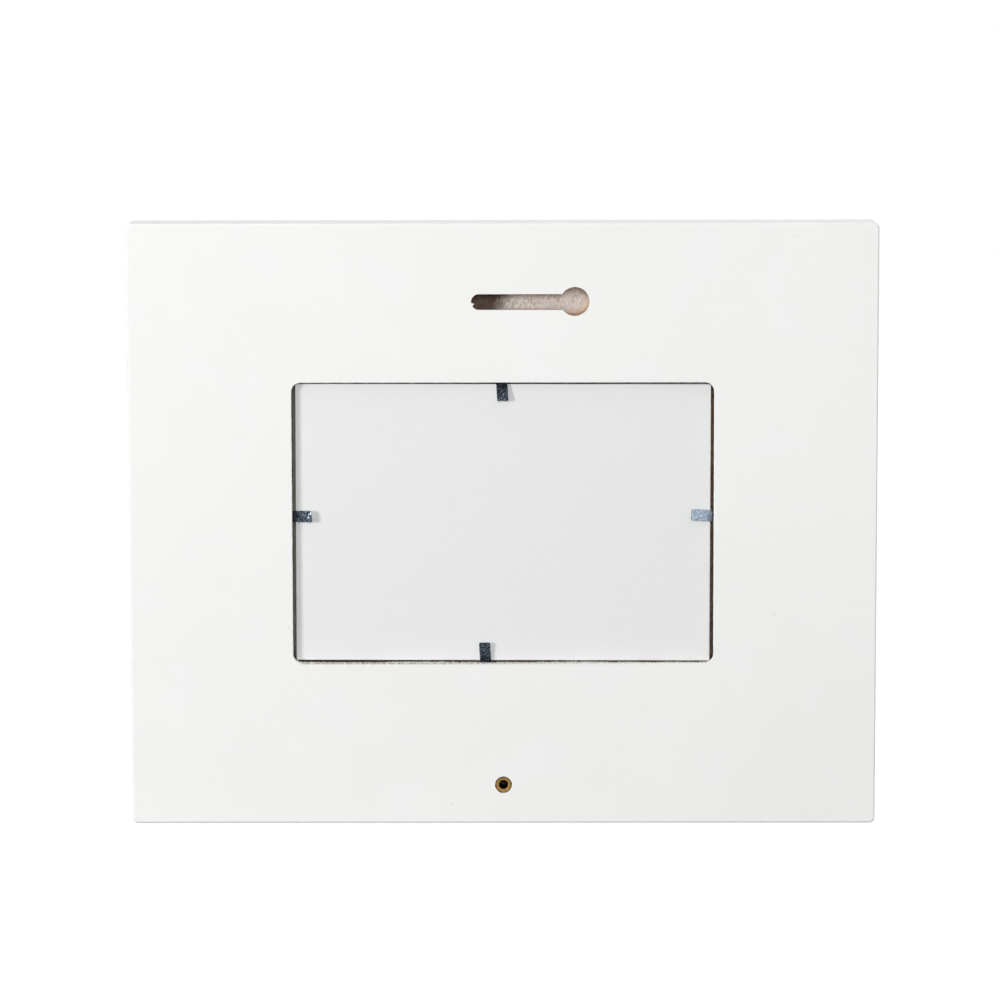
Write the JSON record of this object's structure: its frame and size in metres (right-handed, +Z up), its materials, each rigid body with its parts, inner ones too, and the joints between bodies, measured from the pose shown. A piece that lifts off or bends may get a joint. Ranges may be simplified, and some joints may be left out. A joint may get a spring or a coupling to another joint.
{
  "type": "photo frame",
  "caption": "Wide-bordered white board frame for a small landscape print, with bend-up retaining points, a routed keyhole to hang it by and a brass insert for a screw-in prop.",
  "frame": {"origin": "on top of the wall screw that the frame hangs on: under the upper edge of the keyhole slot, in the plane of the wall side, on the board's vertical centreline", "axes": "+Z up, +Y out of the wall side towards the wall, -Y out of the display side towards the viewer, +X to the right of a viewer who faces the display side"},
  "size_m": [0.274, 0.015, 0.222],
  "materials": {
    "lacquered_board": "white satin lacquer on fibreboard, raw in the routed cuts",
    "clear_glass": "clear float glass",
    "print_paper": "semi-gloss print paper",
    "white_card": "matte white-faced card",
    "insert_brass": "turned, slightly tarnished",
    "zinc_steel": "dark spangled zinc plating"
  },
  "bodies": {
    "frame": {"frame_board": "lacquered_board", "glazing": "clear_glass", "photo_insert": "print_paper", "backing_board": "white_card", "threaded_insert": "insert_brass", "retaining_tab_top_shank": "zinc_steel", "retaining_tab_bottom_shank": "zinc_steel", "retaining_tab_left_shank": "zinc_steel", "retaining_tab_right_shank": "zinc_steel"},
    "tab_top": {"retaining_tab_top": "zinc_steel"},
    "tab_bottom": {"retaining_tab_bottom": "zinc_steel"},
    "tab_left": {"retaining_tab_left": "zinc_steel"},
    "tab_right": {"retaining_tab_right": "zinc_steel"}
  },
  "joints": [
    {"name": "tab_top_bend", "type": "hinge", "parent": "frame", "child": "tab_top", "pos_m": [0.0003, -0.0021, -0.03345], "axis": [0.9981, 0, -0.061], "range_deg": [-13, 72]},
    {"name": "tab_bottom_bend", "type": "hinge", "parent": "frame", "child": "tab_bottom", "pos_m": [0.0065, -0.0021, -0.13585], "axis": [-0.9986, 0, 0.0523], "range_deg": [-10, 75]},
    {"name": "tab_left_bend", "type": "hinge", "parent": "frame", "child": "tab_left", "pos_m": [-0.0765, -0.0021, -0.08215], "axis": [-0.0872, 0, 0.9962], "range_deg": [-14, 71]},
    {"name": "tab_right_bend", "type": "hinge", "parent": "frame", "child": "tab_right", "pos_m": [0.0765, -0.0021, -0.08215], "axis": [-0.0087, 0, -1], "range_deg": [-16, 69]}
  ]
}
